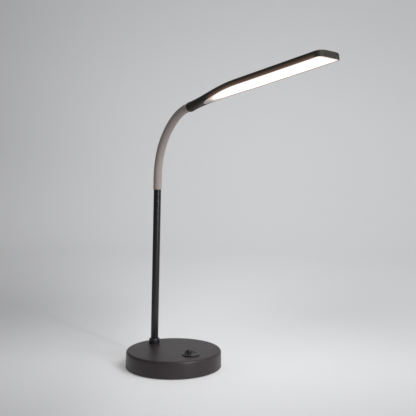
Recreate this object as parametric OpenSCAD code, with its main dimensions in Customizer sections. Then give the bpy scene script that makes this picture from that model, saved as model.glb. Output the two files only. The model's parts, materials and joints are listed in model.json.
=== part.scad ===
// Gooseneck desk lamp: a weighted round base with a rocker switch, an upright tube, a bendable neck
// made of ball and socket links inside a sleeve, and a slim flat head with a glowing panel.
// +X points from the tube towards the head's tip, +Z is up, and the origin is the middle of the
// base's foot on the table. The lamp is the same on both sides of the XZ plane.

/* [Base] */
// Diameter of the base at the table
base_d = 125; // [116:1:160]
// Height of the base's top face above the table
base_h = 22; // [21:0.5:30]
// How far the side leans in from the table to the top
base_draft = 0.5; // [0:0.1:2]
// Radius of the rounded top edge
base_edge_r = 3; // [1:0.5:5]
// Wall of the moulded cover
cover_wall = 2.2; // [1.6:0.1:2.6]
// Gap between the cover's lower rim and the table
rim_gap = 0.8; // [0.5:0.1:1.2]
// Thickness of the bottom plate
plate_t = 3; // [2.8:0.1:3.4]
// Thickness of the foot pad
pad_t = 1.5; // [1.2:0.1:1.8]
// Width of the plain border of the bottom plate round the foot pad
pad_border = 6; // [4:0.5:8]
// Thickness of the steel ballast plate
ballast_t = 6; // [4:0.5:6.5]
// Gap between the ballast plate's edge and the inside of the cover
ballast_gap = 3; // [2:0.5:6]

/* [Upright tube] */
// Distance of the tube behind the middle of the base
pole_setback = 43; // [38:1:45]
// Outside diameter of the tube
pole_d = 10; // [9.6:0.1:10.4]
// Height of the tube's top above the table
pole_top = 231; // [150:1:320]
// Outside diameter of the collar at the tube's foot
collar_d = 14.6; // [13:0.2:18]
// Height of the collar
collar_h = 7; // [3:0.5:12]
// Radius of the collar's rounded shoulder
collar_round = 2; // [0.5:0.1:3]
// Thickness of the nut under the ballast plate
nut_h = 3.5; // [3:0.1:4]
// Width of the nut across its flats
nut_af = 14; // [13:0.5:17]
// Thickness of the washer
washer_t = 1; // [0.8:0.1:1.5]

/* [Neck] */
// Outside diameter of the sleeve
sleeve_d = 11.2; // [11:0.1:12.4]
// Outside diameter of the wound core inside the sleeve
core_d = 8.2; // [7.8:0.1:8.4]
// Bore of the core, in which the lead runs
core_bore = 4.4; // [3.8:0.1:4.6]
// Diameter of the core's wire
core_wire_d = 1.5; // [1.2:0.1:1.7]
// Distance between two bending points of the neck
link_len = 15.5; // [14:0.5:22]
// Length of the straight sleeve end at the tube
sleeve_end = 6; // [5:0.5:10]
// Length of the straight sleeve end at the head
sleeve_top_len = 8.5; // [5:0.5:12]
// Length of the core that is crimped in the tube
core_grip = 24; // [16:1:40]
// Length of the core that is held in the head's stem
core_hold = 12; // [10:1:13]
// Bend at each bending point from the tube to the head, in degrees
rest_bends = [0, 6, 8, 10, 9, 9, 9, 13, 17];
// Gap between a ball end and its socket
socket_gap = 0.3; // [0.2:0.05:0.5]
// Diameter of the lead's jacket
lead_d = 2.8; // [2.2:0.1:3]

/* [Head] */
// Length of the head from the neck to its tip
head_len = 235; // [180:0.5:300]
// Width of the panel
head_w = 37.6; // [34:0.2:60]
// Height of the panel's underside above the neck's axis
panel_rise = 2.4; // [0:0.1:4]
// Thickness of the panel
panel_t = 7.3; // [6.4:0.1:9]
// Diameter of the round stem behind the panel
stem_d = 13; // [12.8:0.1:16]
// Where the stem starts to grow into the panel
flare_start = 13.5; // [12:0.5:20]
// Where the panel has its full width
flare_end = 107.5; // [90:0.5:130]
// Radius of the two corners at the tip, seen from above
tip_r = 7; // [4:0.5:12]
// Width of the shell's lower rim round the diffuser
rim_w = 1.4; // [1:0.1:2]
// Where the diffuser starts, from the neck
diffuser_start = 29.5; // [26:0.5:36]
// Length of the diffuser's rounded end
diffuser_round = 14; // [10:1:24]
// Thickness of the diffuser
diffuser_t = 1.4; // [1:0.1:1.6]
// Thickness of the shell over the light chamber
shell_t = 2.2; // [1.8:0.1:2.4]

/* [Light board] */
// Length of the light board
board_l = 160; // [110:1:162]
// Width of the light board
board_w = 14; // [11:0.5:18]
// Thickness of the light board
board_t = 1; // [0.8:0.1:1.2]
// Thickness of the aluminium strip that spreads the board's heat
spreader_t = 0.8; // [0.5:0.1:1]
// Number of light-emitting chips in each of the two rows
chips_in_row = 15; // [6:1:18]
// Distance between the two rows of chips
chip_spacing = 8; // [6:0.5:9]

/* [Switch] */
// Distance of the switch ahead of the middle of the base
switch_x = 35; // [33:1:38]
// Diameter of the switch's bezel
bezel_d = 23; // [22.4:0.2:26]
// Height of the bezel above the base
bezel_h = 1.4; // [1:0.1:2]
// Diameter of the switch's cut-out in the base
cutout_d = 20; // [19.6:0.1:20.6]
// Depth of the switch's barrel below the base's top face
barrel_depth = 11; // [10:0.5:12]
// Wall of the barrel
barrel_wall = 1.1; // [0.9:0.1:1.3]
// Angle through which the rocker tips
rocker_travel = 18; // [12:1:20]
// Height of the rocker's pivot above the base's top face
pivot_rise = 0.3; // [0:0.1:0.5]

/* [Fits] */
// Play between parts that slide together, on the radius
slide_fit = 0.05; // [0.03:0.01:0.1]
// Play of the rocker in its bezel, on the radius
rocker_gap = 0.3; // [0.2:0.05:0.4]
// Play of loose fits, such as the bottom plate in the cover
loose_fit = 0.25; // [0.15:0.05:0.4]

/* [Hidden] */
$fn = 64;
// How far a cutting shape reaches past the surface that it cuts
over = 0.5;

// Base, from the table upwards
plate_top = rim_gap + plate_t;
ceiling_z = base_h - cover_wall;
ballast_z = ceiling_z - ballast_t;
washer_z = ballast_z - washer_t;
nut_z = washer_z - nut_h;
pole_past_nut = 0.4;
pole_end_z = nut_z - pole_past_nut;
washer_r = nut_af / 2 + 1.5;
cover_r = base_d / 2;
cover_inner_r = cover_r - cover_wall - base_draft;
screw_circle_r = cover_inner_r - 9.8;
screw_angles = [45, 135, 225, 315];
boss_r = 3.8;
screw_r = 1.2;
screw_head_r = 2.8;
screw_head_h = 1.1;
screw_bite = 8;
screw_seat_z = pad_t + 0.1;
screw_cross = [3.2, 0.7, 0.7];
pad_r = cover_inner_r - pad_border;
pole_r = pole_d / 2;
pole_bore_r = core_d / 2 + 2 * slide_fit;
collar_edge_r = min(collar_round, (collar_d - pole_d) / 2 - slide_fit - 0.1, collar_h - 0.5);

// Switch
pivot_z = base_h + pivot_rise;
barrel_r = cutout_d / 2 - 0.1;
barrel_bore_r = barrel_r - barrel_wall;
rocker_r = barrel_bore_r - rocker_gap;
rocker_dish_r = 26;
rocker_dish_rise = 1.2;
rocker_depth = 4.5;
rocker_nub_r = 3.4;
rocker_nub_z = 1.3;
rocker_nub_x = rocker_nub_r + 0.2 - rocker_r;
trunnion_r = 1;
trunnion_end = barrel_bore_r + 0.6;
contact_xs = [-5.5, 0, 5.5];
contact_size = [0.8, 4.8];
contact_leg = 3.2;
contact_rise = 1;
contact_hole_r = 0.7;
contact_hole_z = 1.6;
barrel_floor = 1.5;
bezel_edge_r = 0.8;

// Cable bush in the rear wall, and the block behind it
bush_bore_r = 2.5;
bush_neck_r = 4;
bush_flange_r = 5.2;
bush_flange_t = 1.6;
bush_inside = 3;
bush_edge = 0.5;
bush_barb = 0.4;
bush_wall = cover_wall + base_draft;
bush_z = plate_top + 4.6;
wire_z = base_h - barrel_depth - contact_leg + 0.8;
block_size = [9, 13, wire_z - plate_top + 2.2];
block_at = [-30, -22];
block_rows = [-3, 3];
block_wire_r = 1.3;
block_screw_r = 1.6;
block_groove = [0.8, 2];
block_grip = 3;

// Driver board
driver_size = [46, 22, 1.6];
driver_at = [-1, 24];
standoff_h = 2;
standoff_x = 19;
standoff_y = 7;
standoff_r = 2.4;
standoff_pin_r = 1.1;
driver_z = plate_top + standoff_h;
driver_top = driver_z + driver_size[2];
driver_pads_x = [-17, 16];
driver_pads_y = -1.5;
pad_size = [3, 5, wire_z - driver_top + 1.8];
transformer_at = [-9, -4];
transformer_size = [12, 10, 4.2];
winding_notch = [8, 2, 2.2];
capacitor_at = [5, -2];
capacitor_r = 2.2;
capacitor_len = 8;
converter_at = [6, 4];
converter_size = [5, 4, 1.5];
fuse_xs = [-12.5, -14.5];
fuse_y = -8;
fuse_r = 0.8;
fuse_h = 2.4;
lead_in = 4;
mains_wire_r = 0.65;

// Neck: a ball end runs in the socket of the link below it, and both are centred on the bending point
link_count = len(rest_bends) - 1;
sleeve_r = sleeve_d / 2;
core_r = core_d / 2;
sleeve_bore_r = core_r + slide_fit;
ball_r = sleeve_r + 0.05;
socket_r = ball_r + socket_gap;
lead_r = lead_d / 2;
lead_gap = 0.6;
elbow_r = 3.4;
lead_reach = link_len - ball_r - lead_gap;
turn_gap = 0.1;

// Head
half_w = head_w / 2;
stem_r = stem_d / 2;
stem_lip_r = sleeve_r + 0.2;
stem_lip_len = 1.5;
stem_straight = 4;
rise_lead = 10;
rise_end = flare_end - rise_lead;
square_start = 7.5;
square_lead = 15;
square_end = flare_end - square_lead;
slot_least = 1.2;
diffuser_play = 0.15;
lead_hole_r = lead_r + 0.3;
tip_x = head_len - tip_r;
panel_top = panel_rise + panel_t;
chamber_z = panel_top - shell_t;
chamber_corner = 0.8;
board_end_gap = 10;
board_x = head_len - rim_w - board_end_gap - board_l;
board_screw_r = 0.8;
board_screw_bite = 1.2;
board_screw_head_r = 1.7;
board_screw_head_h = 0.8;
board_hole_r = board_screw_r + 0.3;
spreader_past = [1.5, 1];
board_z = chamber_z - spreader_t - board_t;
chip_size = [3.5, 2.8, 0.7];
board_wire_r = 0.5;
board_wire_y = 0.7;
board_wire_hole_r = board_wire_y + board_wire_r + 0.2;
jacket_end_x = core_hold + 4;
board_wire_rise = [board_x + 2 - jacket_end_x, board_z - board_wire_r - 0.05];
board_screw_x = [5, board_l / 2, board_l - 5];

// ---- Helpers ----------------------------------------------------------------

// Points on an arc round c from angle a to angle b
function arc(c, r, a, b, steps) =
    [for (i = [0 : steps]) c + r * [cos(a + (b - a) * i / steps), sin(a + (b - a) * i / steps)]];

// A soft step from 0 at t = 0 to 1 at t = 1
function ease(t) = t <= 0 ? 0 : t >= 1 ? 1 : t * t * (3 - 2 * t);

// x to the power p with the sign of x kept
function signed_pow(x, p) = sign(x) * pow(abs(x), p);

// A closed skin over equal rings of points, with both ends capped
module loft(rings) {
    n = len(rings[0]);
    last = len(rings) - 1;
    sides = [for (i = [0 : last - 1], j = [0 : n - 1])
        each let (a = i * n + j, b = i * n + (j + 1) % n)
            [[a, b, b + n], [a, b + n, a + n]]];
    caps = [[for (j = [n - 1 : -1 : 0]) j], [for (j = [0 : n - 1]) last * n + j]];
    polyhedron([for (ring = rings) each ring], concat(sides, caps));
}

// A round wire through points of one level plane, with a bend of radius bend_r at each corner
module wire(points, r, bend_r) {
    last = len(points) - 1;
    function heading(i) = let (d = points[i + 1] - points[i]) atan2(d[1], d[0]);
    function turn(i) = let (t = heading(i) - heading(i - 1)) t > 180 ? t - 360 : t < -180 ? t + 360 : t;
    function cut(i) = i == 0 || i == last ? 0 : bend_r * tan(abs(turn(i)) / 2);
    union() {
        for (i = [0 : last - 1])
            translate([points[i][0], points[i][1], 0]) rotate([0, 90, heading(i)])
                translate([0, 0, cut(i)])
                    cylinder(r = r, h = norm(points[i + 1] - points[i]) - cut(i) - cut(i + 1));
        for (i = [1 : last - 1]) {
            side = sign(turn(i));
            translate([points[i][0], points[i][1], 0]) rotate([0, 0, heading(i - 1)])
                translate([-cut(i), side * bend_r, 0]) rotate([0, 0, side > 0 ? -90 : 90 + turn(i)])
                    rotate_extrude(angle = abs(turn(i))) translate([bend_r, 0]) circle(r = r);
        }
    }
}

// ---- Base -------------------------------------------------------------------

module at_screws() for (a = screw_angles) rotate([0, 0, a]) translate([screw_circle_r, 0, 0]) children();

module cover_profile() {
    top_r = cover_r - base_draft;
    inner_edge = max(base_edge_r - cover_wall, 0.5);
    polygon(concat(
        [[0, base_h]], [[0, ceiling_z]],
        arc([cover_inner_r - inner_edge, ceiling_z - inner_edge], inner_edge, 90, 0, 4),
        [[cover_inner_r, rim_gap], [cover_r, rim_gap]],
        arc([top_r - base_edge_r, base_h - base_edge_r], base_edge_r, 0, 90, 12)));
}

module base_cover() color([0.24, 0.23, 0.22]) difference() {
    union() {
        rotate_extrude($fn = 128) cover_profile();
        at_screws() translate([0, 0, plate_top]) cylinder(r = boss_r, h = ceiling_z - plate_top + over);
    }
    at_screws() translate([0, 0, plate_top - over])
        cylinder(r = screw_r + slide_fit, h = screw_bite + 1 + over);
    at_pole(ceiling_z - over) cylinder(r = pole_r + slide_fit, h = cover_wall + 2 * over);
    translate([switch_x, 0, ceiling_z - over]) cylinder(d = cutout_d, h = cover_wall + 2 * over);
    translate([-cover_r - over, 0, bush_z]) rotate([0, 90, 0])
        cylinder(r = bush_neck_r + slide_fit, h = bush_wall + 2 * over);
}

module ballast_plate() color([0.45, 0.45, 0.47]) difference() {
    translate([0, 0, ballast_z]) cylinder(r = cover_inner_r - ballast_gap, h = ballast_t, $fn = 96);
    hole_h = ballast_t + 2 * over;
    at_screws() translate([0, 0, ballast_z - over]) cylinder(r = boss_r + loose_fit, h = hole_h);
    at_pole(ballast_z - over) cylinder(r = pole_r + slide_fit, h = hole_h);
    translate([switch_x, 0, ballast_z - over]) cylinder(r = cutout_d / 2 + 1, h = hole_h);
}

module at_standoffs() for (x = [-1, 1], y = [-1, 1])
    translate([driver_at[0] + x * standoff_x, driver_at[1] + y * standoff_y, 0]) children();

module bottom_plate() color([0.13, 0.13, 0.13]) difference() {
    union() {
        translate([0, 0, rim_gap]) cylinder(r = cover_inner_r - loose_fit, h = plate_t, $fn = 96);
        at_standoffs() translate([0, 0, plate_top - over]) cylinder(r = standoff_r, h = standoff_h + over);
        at_standoffs() translate([0, 0, plate_top - over])
            cylinder(r = standoff_pin_r, h = standoff_h + driver_size[2] + 0.6 + over);
    }
    cylinder(r = pad_r + loose_fit, h = pad_t, $fn = 96);
    at_screws() cylinder(r = screw_r + loose_fit, h = plate_top + over);
    at_screws() cylinder(r = screw_head_r + loose_fit, h = screw_seat_z + screw_head_h);
}

module foot_pad() color([0.07, 0.07, 0.07]) cylinder(r = pad_r, h = pad_t, $fn = 96);

module base_screws() color([0.6, 0.6, 0.62]) at_screws() translate([0, 0, screw_seat_z]) difference() {
    union() {
        cylinder(r = screw_head_r, h = screw_head_h);
        cylinder(r = screw_r, h = plate_top - screw_seat_z + screw_bite);
    }
    for (a = [0, 90]) rotate([0, 0, a]) translate([-screw_cross[0] / 2, -screw_cross[1] / 2, -over])
        cube(screw_cross + [0, 0, over]);
}

module cable_bush() color([0.08, 0.08, 0.08])
    translate([-cover_r, 0, bush_z]) rotate([0, 90, 0]) rotate_extrude() polygon([
        [bush_bore_r, -bush_flange_t], [bush_flange_r - bush_edge, -bush_flange_t],
        [bush_flange_r, bush_edge - bush_flange_t], [bush_flange_r, 0], [bush_neck_r, 0],
        [bush_neck_r, bush_wall + 0.1], [bush_neck_r + bush_barb, bush_wall + 0.1 + bush_barb],
        [bush_neck_r, bush_wall + bush_inside], [bush_bore_r, bush_wall + bush_inside]]);

module terminal_block() color([0.85, 0.85, 0.82])
    translate([block_at[0] - block_size[0] / 2, block_at[1] - block_size[1] / 2, plate_top]) difference() {
        cube(block_size);
        for (y = block_rows) translate([0, block_size[1] / 2 + y, wire_z - plate_top]) {
            translate([-over, 0, 0]) rotate([0, 90, 0])
                cylinder(r = block_wire_r, h = block_size[0] + 2 * over);
            translate([block_size[0] / 2, 0, 0]) cylinder(r = block_screw_r, h = block_size[2]);
        }
        translate([-over, (block_size[1] - block_groove[0]) / 2, block_size[2] - block_groove[1]])
            cube([block_size[0] + 2 * over, block_groove[0], block_groove[1] + over]);
    }

module driver_board() color([0.12, 0.35, 0.2]) difference() {
    translate([driver_at[0], driver_at[1], driver_z + driver_size[2] / 2]) cube(driver_size, center = true);
    at_standoffs() translate([0, 0, driver_z - over])
        cylinder(r = standoff_pin_r + slide_fit, h = driver_size[2] + 2 * over);
}

module driver_parts() color([0.2, 0.2, 0.22]) translate([driver_at[0], driver_at[1], driver_top]) {
    translate(transformer_at) difference() {
        cube(transformer_size);
        for (y = [-winding_notch[1] / 2, transformer_size[1] - winding_notch[1] / 2])
            translate([(transformer_size[0] - winding_notch[0]) / 2, y, 1]) cube(winding_notch);
    }
    translate([capacitor_at[0], capacitor_at[1], capacitor_r]) rotate([0, 90, 0])
        cylinder(r = capacitor_r, h = capacitor_len);
    translate(converter_at) cube(converter_size);
    for (x = fuse_xs) translate([x, fuse_y, 0]) cylinder(r = fuse_r, h = fuse_h);
    for (x = driver_pads_x) translate([x - pad_size[0] / 2, driver_pads_y, 0]) cube(pad_size);
}

// Mains wires, all at one height: block to switch, block to driver, and switch to driver
module base_leads() color([0.55, 0.1, 0.1]) translate([0, 0, wire_z]) {
    block_x = block_at[0] + block_size[0] / 2 - block_grip;
    row_y = [for (y = block_rows) block_at[1] + y];
    contact_x = [for (x = contact_xs) switch_x + x];
    pad_x = [for (x = driver_pads_x) driver_at[0] + x];
    pad_y = driver_at[1] + driver_pads_y;
    wire([[block_x, row_y[0]], [contact_x[2], row_y[0]], [contact_x[2], -contact_size[1] / 2]],
        mains_wire_r, 4);
    wire([[block_x, row_y[1]], [pad_x[0], row_y[1]], [pad_x[0], pad_y]], mains_wire_r, 4);
    wire([[contact_x[0] - contact_size[0] / 2, 1], [pad_x[1], 1], [pad_x[1], pad_y]], mains_wire_r, 3);
}

// ---- Upright tube -----------------------------------------------------------

module at_pole(z) translate([-pole_setback, 0, z]) children();

module pole() color([0.07, 0.07, 0.08]) at_pole(pole_end_z) difference() {
    cylinder(r = pole_r, h = pole_top - pole_end_z);
    translate([0, 0, -over]) cylinder(r = pole_bore_r, h = pole_top - pole_end_z + 2 * over);
}

module pole_collar() color([0.09, 0.09, 0.1]) at_pole(base_h) rotate_extrude() polygon(concat(
    [[pole_r + slide_fit, 0], [collar_d / 2, 0]],
    arc([collar_d / 2 - collar_edge_r, collar_h - collar_edge_r], collar_edge_r, 0, 90, 8),
    [[pole_r + slide_fit, collar_h]]));

module pole_washer() color([0.7, 0.7, 0.72]) at_pole(washer_z) difference() {
    cylinder(r = washer_r, h = washer_t);
    translate([0, 0, -over]) cylinder(r = pole_r + slide_fit, h = washer_t + 2 * over);
}

module pole_nut() color([0.7, 0.7, 0.72]) at_pole(nut_z) difference() {
    cylinder(d = nut_af / cos(30), h = nut_h, $fn = 6);
    translate([0, 0, -over]) cylinder(r = pole_r + slide_fit, h = nut_h + 2 * over, $fn = 64);
}

// The lamp's lead: across from the driver board, round an elbow and up the tube to the first link
module pole_lead() color([0.15, 0.15, 0.16]) {
    run_z = plate_top + lead_r + 0.1;
    reach = [driver_at[0] - driver_size[0] / 2 + lead_in + pole_setback,
        driver_at[1] - driver_size[1] / 2 - lead_r];
    at_pole(run_z) rotate([0, 0, atan2(reach[1], reach[0])]) union() {
        translate([elbow_r, 0, elbow_r]) rotate([90, 0, 0]) rotate_extrude(angle = 90, start = 180)
            translate([elbow_r, 0]) circle(r = lead_r);
        translate([elbow_r, 0, 0]) rotate([0, 90, 0]) cylinder(r = lead_r, h = norm(reach) - elbow_r);
        translate([0, 0, elbow_r])
            cylinder(r = lead_r, h = pole_top + sleeve_end - ball_r - lead_gap - run_z - elbow_r);
    }
}

// ---- Neck -------------------------------------------------------------------

// Angle between the neck and the vertical just past bending point k, counted from 0
function lean(k) = k < 0 ? 0 : lean(k - 1) + rest_bends[k];

// Place of bending point k in the XZ plane
function joint_at(k) = k == 0
    ? [-pole_setback, pole_top + sleeve_end]
    : joint_at(k - 1) + link_len * [sin(lean(k - 1)), cos(lean(k - 1))];

module at_joint(k) translate([joint_at(k)[0], 0, joint_at(k)[1]]) rotate([0, lean(k), 0]) children();

// Half section of a neck piece between two radii: a ball end below the bending point at 0 and a
// socket round the bending point at the far end
module link_profile(inner_r, outer_r, length, ball, socket) {
    difference() {
        union() {
            translate([inner_r, 0]) square([outer_r - inner_r, length]);
            if (ball) intersection() {
                circle(r = ball_r);
                translate([inner_r, -ball_r]) square([outer_r - inner_r, ball_r + 0.1]);
            }
        }
        if (socket) translate([0, length]) circle(r = socket_r);
    }
}

// Half section of the wound core: a liner with the turns of the wire standing out of it
module core_profile(length, ball, socket) {
    wire_x = core_r - core_wire_d / 2;
    pitch = core_wire_d + turn_gap;
    intersection() {
        link_profile(core_bore / 2, core_r + 0.2, length, ball, socket);
        union() {
            translate([core_bore / 2, -ball_r]) square([wire_x - core_bore / 2, length + ball_r]);
            for (z = [pitch / 2 - 4 * pitch : pitch : length + pitch])
                translate([wire_x, z]) circle(d = core_wire_d);
        }
    }
}

module core_link(k) color([0.6, 0.6, 0.63]) at_joint(k) rotate_extrude() core_profile(link_len, true, true);

module sleeve_link(k) color([0.55, 0.52, 0.5]) at_joint(k)
    rotate_extrude() link_profile(sleeve_bore_r, sleeve_r, link_len, true, true);

// Half section of a stretch of lead. Its lower end follows the ball end round it, and its upper end
// stops short of the next ball end, so it is clear of it at every bend.
module lead_profile(length) {
    square([lead_r, length]);
    intersection() {
        circle(r = ball_r);
        translate([0, -ball_r]) square([lead_r, ball_r + 0.1]);
    }
}

module lead_link(k) color([0.15, 0.15, 0.16]) at_joint(k)
    rotate_extrude() union() lead_profile(lead_reach);

// The core's lower end is crimped in the tube, and the sleeve's lower end stands on the tube
module core_foot() color([0.6, 0.6, 0.63]) at_pole(pole_top - core_grip) rotate_extrude() union() {
    translate([core_bore / 2, 0]) square([core_r - core_bore / 2, core_grip]);
    translate([0, core_grip]) core_profile(sleeve_end, false, true);
}

module sleeve_foot() color([0.55, 0.52, 0.5]) at_pole(pole_top)
    rotate_extrude() link_profile(sleeve_bore_r, sleeve_r, sleeve_end, false, true);

// ---- Head -------------------------------------------------------------------
// In the head's own frame the neck's axis is X, the head starts at x = 0 and Z is its upper side.

module in_head() at_joint(link_count) translate([0, 0, sleeve_top_len]) rotate([0, -90, 0]) children();

module core_top() color([0.6, 0.6, 0.63]) at_joint(link_count)
    rotate_extrude() core_profile(sleeve_top_len + core_hold, true, false);

module sleeve_top() color([0.55, 0.52, 0.5]) at_joint(link_count)
    rotate_extrude() link_profile(sleeve_bore_r, sleeve_r, sleeve_top_len, true, false);

// Half the panel's width at x: the stem, the flare, the straight sides and the round corner
function outline(x) =
    x > tip_x ? half_w - tip_r + sqrt(max(pow(tip_r, 2) - pow(x - tip_x, 2), 0))
    : x < stem_lip_len ? stem_lip_r + (stem_r - stem_lip_r) * sqrt(1 - pow(1 - x / stem_lip_len, 2))
    : stem_r + (half_w - stem_r) * ease((x - flare_start) / (flare_end - flare_start));

// How far the round stem has turned into the flat panel at x, from 0 to 1
function grown(x) = 1 - pow(1 - min((x - stem_straight) / (rise_end - stem_straight), 1), 2);

// Heights of the underside and the upper side in the middle at x
function underside(x) = x < stem_straight ? -outline(x) : -stem_r + (panel_rise + stem_r) * grown(x);
function upperside(x) = x < stem_straight ? outline(x)
    : stem_r + (panel_top - stem_r) * grown(x);

// The section is a circle at the stem and grows square: exponents of its upper and lower halves
function squareness(x, most) = 2 + (most - 2) * ease((x - square_start) / (square_end - square_start));
upper_most = 8;
lower_most = 16;

// Point of the head's section at x, at angle a round the middle of its height
function section_point(x, a) =
    let (n = squareness(x, a >= 0 && a <= 180 ? upper_most : lower_most),
        low = underside(x), high = upperside(x), mid = (low + high) / 2)
        [x, outline(x) * signed_pow(cos(a), 2 / n), mid + (high - low) / 2 * signed_pow(sin(a), 2 / n)];

// Half width of the slot that the diffuser fills
function slot(x) =
    let (rounded = 1 - pow(1 - min(max(x - diffuser_start, 0) / diffuser_round, 1), 2),
        side = x > tip_x ? half_w - tip_r + sqrt(max(pow(tip_r - rim_w, 2) - pow(x - tip_x, 2), 0))
            : outline(x) - rim_w)
        max(side * sqrt(rounded), slot_least);

// Angle below the horizontal at which the section reaches the slot's edge
function slot_angle(x) = acos(pow(slot(x) / outline(x), squareness(x, lower_most) / 2));
function slot_z(x) = section_point(x, -slot_angle(x))[2];
function chamber_top(x) = max(min(upperside(x) - shell_t + 0.6, chamber_z), slot_z(x) + chamber_corner);

outer_steps = 24;

// The chamber's walls and ceiling at x, from one edge of the slot over to the other
function chamber_arch(x) =
    let (c = slot(x), top = chamber_top(x), corner = min(chamber_corner, (top - slot_z(x)) / 2))
        [for (y = [-c, corner - c, -c / 3, 0, c / 3, c - corner, c])
            [x, y, abs(y) == c ? top - corner : top]];

// One ring of the shell: round the outside from one edge of the slot to the other, then back either
// over the chamber's ceiling where the shell is hollow, or along the underside where it is solid
function shell_ring(x, hollow) = let (a = slot_angle(x)) concat(
    [for (i = [0 : outer_steps]) section_point(x, -a + (180 + 2 * a) * i / outer_steps)],
    hollow ? chamber_arch(x)
        : [for (i = [1 : 7]) section_point(x, -180 + a + (180 - 2 * a) * i / 8)]);

solid_stem_x = concat([for (t = [0, 0.15, 0.5, 1]) stem_lip_len * t],
    [stem_straight, flare_start, (flare_start + diffuser_start) / 2, diffuser_start - 0.4]);
hollow_x = concat(
    [for (t = [0.02, 0.08, 0.2, 0.4, 0.65, 1]) diffuser_start + diffuser_round * t],
    [for (i = [1 : 7]) let (x0 = diffuser_start + diffuser_round) x0 + (flare_end - x0) * i / 7],
    [for (a = [0 : 15 : 90]) tip_x + (tip_r - rim_w) * sin(a)]);
solid_tip_x = concat([head_len - rim_w + 0.3],
    [for (a = [60 : 10 : 90]) if (tip_r * sin(a) > tip_r - rim_w + 0.4) tip_x + tip_r * sin(a)]);

module head_shell() color([0.1, 0.1, 0.11]) in_head() difference() {
    loft(concat(
        [for (x = solid_stem_x) shell_ring(x, false)],
        [for (x = hollow_x) shell_ring(x, true)],
        [for (x = solid_tip_x) shell_ring(x, false)]));
    translate([-over, 0, 0]) rotate([0, 90, 0])
        cylinder(r = core_r + slide_fit, h = core_hold + 1 + over);
    rotate([0, 90, 0]) cylinder(r = lead_hole_r, h = jacket_end_x + 1);
    along_board_wires() cylinder(r = board_wire_hole_r, h = diffuser_start + 4 - jacket_end_x);
    for (x = board_screw_x) translate([board_x + x, 0, chamber_z - over])
        cylinder(r = board_screw_r + slide_fit, h = board_screw_bite + 0.1 + over);
}

// The diffuser drops into the slot from below and follows the underside
module diffuser() color([0.97, 0.96, 0.92]) in_head() {
    xs = concat(
        [for (t = [0.05, 0.12, 0.25, 0.45, 0.7, 1]) diffuser_start + diffuser_round * t],
        [for (i = [1 : 7]) let (x0 = diffuser_start + diffuser_round) x0 + (flare_end - x0) * i / 7],
        [for (a = [0 : 15 : 75]) tip_x + (tip_r - rim_w) * sin(a)],
        [head_len - rim_w - diffuser_play]);
    loft([for (x = xs) let (c = slot(x) - diffuser_play, z = slot_z(x) + diffuser_play)
        [[x, c, z], [x, c, z + diffuser_t], [x, -c, z + diffuser_t], [x, -c, z]]]);
}

module heat_spreader() color([0.8, 0.81, 0.83]) in_head() difference() {
    translate([board_x, -board_w / 2, chamber_z - spreader_t] - [spreader_past[0], spreader_past[1], 0])
        cube([board_l, board_w, spreader_t] + 2 * [spreader_past[0], spreader_past[1], 0]);
    for (x = board_screw_x) translate([board_x + x, 0, chamber_z - spreader_t - over])
        cylinder(r = board_hole_r, h = spreader_t + 2 * over);
}

module light_board() color([0.93, 0.93, 0.9]) in_head() difference() {
    translate([board_x, -board_w / 2, board_z]) cube([board_l, board_w, board_t]);
    for (x = board_screw_x) translate([board_x + x, 0, board_z - over])
        cylinder(r = board_hole_r, h = board_t + 2 * over);
}

module light_chips() color([0.98, 0.9, 0.5]) in_head()
    translate([board_x, 0, board_z - chip_size[2] / 2])
        for (i = [0 : chips_in_row - 1], side = [-0.5, 0.5])
            translate([board_l * (i + 0.5) / chips_in_row, side * chip_spacing, 0])
                cube(chip_size, center = true);

module board_screws() color([0.6, 0.6, 0.62]) in_head()
    for (x = board_screw_x) translate([board_x + x, 0, board_z - board_screw_head_h]) {
        cylinder(r = board_screw_head_r, h = board_screw_head_h);
        cylinder(r = board_screw_r, h = board_screw_head_h + board_t + spreader_t + board_screw_bite);
    }

// Frame along the two wires that climb from the end of the lead's jacket to the light board
module along_board_wires() translate([jacket_end_x, 0, 0])
    rotate([0, 90 - atan2(board_wire_rise[1], board_wire_rise[0]), 0]) children();

module head_lead() color([0.15, 0.15, 0.16]) union() {
    at_joint(link_count) rotate_extrude() union() lead_profile(sleeve_top_len + jacket_end_x);
    in_head() along_board_wires() for (y = [-board_wire_y, board_wire_y])
        translate([0, y, -1]) cylinder(r = board_wire_r, h = norm(board_wire_rise) + 1);
}

// ---- Switch -----------------------------------------------------------------

module at_contacts() for (x = contact_xs) translate([x, 0, 0]) children();

module switch_housing() color([0.06, 0.06, 0.07]) translate([switch_x, 0, base_h]) difference() {
    rotate_extrude() union() {
        polygon(concat(
            [[barrel_bore_r, 0], [bezel_d / 2, 0]],
            arc([bezel_d / 2 - bezel_edge_r, bezel_h - bezel_edge_r], bezel_edge_r, 0, 90, 6),
            [[barrel_bore_r + 0.3, bezel_h], [barrel_bore_r, bezel_h - 0.3]]));
        translate([barrel_bore_r, -barrel_depth]) square([barrel_wall, barrel_depth + 0.2]);
        translate([0, -barrel_depth]) square([barrel_r, barrel_floor]);
    }
    translate([0, 0, pivot_rise]) rotate([90, 0, 0])
        cylinder(r = trunnion_r + slide_fit, h = 2 * (trunnion_end + 0.1), center = true);
    at_contacts() translate([0, 0, barrel_floor / 2 - barrel_depth])
        cube([contact_size[0] + 0.1, contact_size[1] + 0.1, barrel_floor + 1], center = true);
}

module switch_contacts() color([0.75, 0.6, 0.3])
    translate([switch_x, 0, base_h - barrel_depth - contact_leg])
    at_contacts() translate([-contact_size[0] / 2, -contact_size[1] / 2, 0]) difference() {
        cube([contact_size[0], contact_size[1], contact_leg + barrel_floor + contact_rise]);
        translate([-over, contact_size[1] / 2, contact_hole_z]) rotate([0, 90, 0])
            cylinder(r = contact_hole_r, h = contact_size[0] + 2 * over);
    }

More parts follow.
